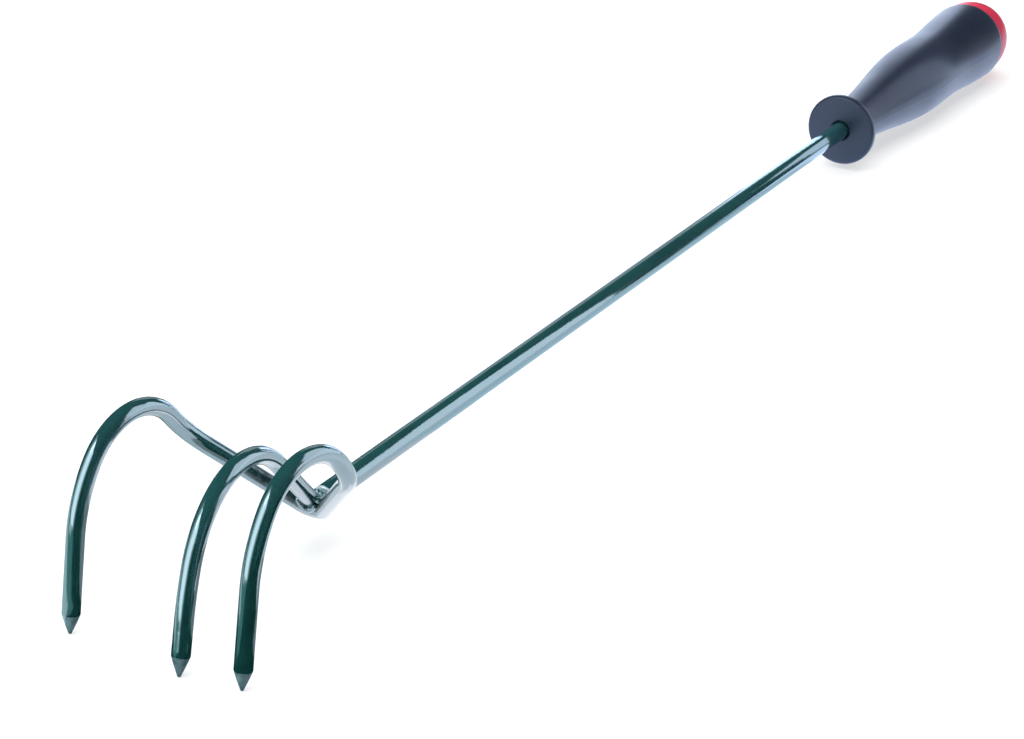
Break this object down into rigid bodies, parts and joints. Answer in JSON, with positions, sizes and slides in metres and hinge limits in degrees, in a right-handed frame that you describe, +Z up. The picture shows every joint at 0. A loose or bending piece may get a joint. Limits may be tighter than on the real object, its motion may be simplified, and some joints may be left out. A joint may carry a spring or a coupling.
{
  "type": "garden cultivator",
  "caption": "Hand cultivator for loosening soil: pointed tines bent to hooks and welded to a long round shaft, with a flanged moulded grip and a domed end cap.",
  "frame": {"origin": "on the level floor that the tool lies on, under the middle of its outline", "axes": "+Z up, +Y along the tool from the tines to the grip, +X across the tines, on the left of a person who holds the grip"},
  "size_m": [0.0672, 0.63, 0.0609],
  "materials": {
    "green_paint": "glossy dark blue-green coating on steel rod",
    "black_plastic": "satin black",
    "red_plastic": "smooth red"
  },
  "bodies": {
    "root": {"shaft": "green_paint", "outer_tines": "green_paint", "centre_tine": "green_paint", "weld_collar": "green_paint", "weld_crown": "green_paint", "weld_root": "green_paint", "grip": "black_plastic", "end_cap": "red_plastic"}
  },
  "joints": []
}
